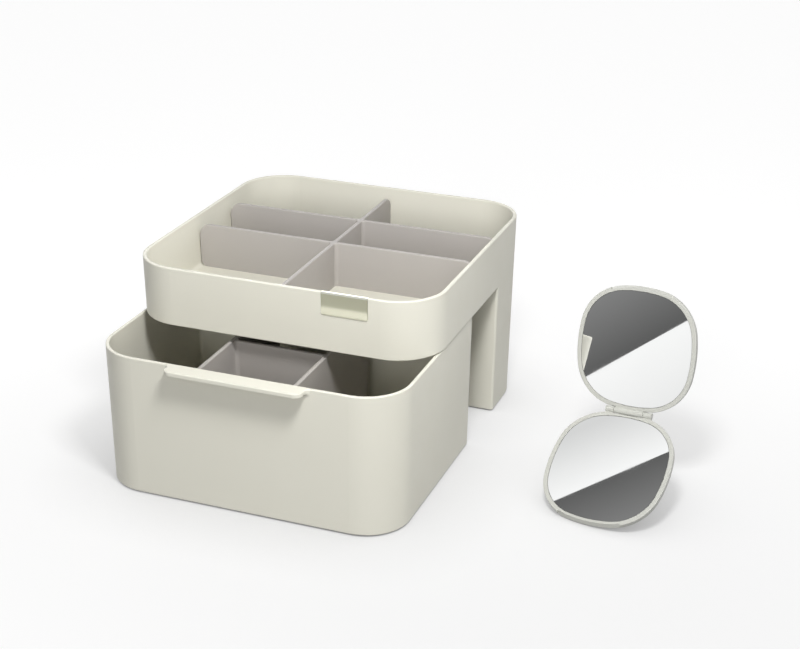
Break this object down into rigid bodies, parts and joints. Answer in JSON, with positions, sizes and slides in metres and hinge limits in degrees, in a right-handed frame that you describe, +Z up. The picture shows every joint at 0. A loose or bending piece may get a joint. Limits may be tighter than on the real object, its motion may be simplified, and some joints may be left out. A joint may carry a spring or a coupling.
{
  "type": "makeup organizer with mirror",
  "caption": "Tiered plastic makeup organizer with a divided top tray, deep rear wells, a pull-out divided drawer and a folding mirror that stands beside it.",
  "frame": {"origin": "middle of the pad under the rear stand, on the table", "axes": "+X to the right seen from the front, +Y to the back, +Z up; the drawer pulls out along -Y"},
  "size_m": [0.3421, 0.2571, 0.1299],
  "materials": {
    "cream_plastic": "satin moulded",
    "grey_plastic": "matte moulded",
    "badge_metal": "satin",
    "pad_rubber": "matte",
    "glide_plastic": "smooth",
    "leaf_plastic": "satin moulded",
    "mirror_glass": "polished",
    "adhesive_foam": "foam sheet",
    "pin_steel": "plain"
  },
  "bodies": {
    "organiser": {"organiser_body": "cream_plastic", "badge": "badge_metal", "stand_pad": "pad_rubber"},
    "tray_insert": {"tray_divider": "grey_plastic"},
    "drawer_unit": {"drawer": "cream_plastic", "drawer_divider": "grey_plastic", "drawer_glide_front_left": "glide_plastic", "drawer_glide_front_right": "glide_plastic", "drawer_glide_back_left": "glide_plastic", "drawer_glide_back_right": "glide_plastic"},
    "mirror_stand": {"mirror_base": "leaf_plastic", "mirror_base_glass": "mirror_glass", "mirror_base_adhesive": "adhesive_foam", "mirror_hinge_pin": "pin_steel"},
    "mirror_cover": {"mirror_lid": "leaf_plastic", "mirror_lid_glass": "mirror_glass", "mirror_lid_adhesive": "adhesive_foam"}
  },
  "joints": [
    {"name": "drawer_slide", "type": "slide", "parent": "organiser", "child": "drawer_unit", "axis": [0, -1, 0], "range_m": [-0.0466, 0.0905]},
    {"name": "divider_lift", "type": "slide", "parent": "organiser", "child": "tray_insert", "axis": [0, 0, 1], "range_m": [0, 0.07]},
    {"name": "mirror_lift", "type": "slide", "parent": "organiser", "child": "mirror_stand", "axis": [0, 0, 1], "range_m": [0, 0.1]},
    {"name": "mirror_hinge", "type": "hinge", "parent": "mirror_stand", "child": "mirror_cover", "pos_m": [0.2045, -0.0926, 0.04858], "axis": [0.9829, -0.1728, 0.0637], "range_deg": [-40, 139.1]}
  ]
}
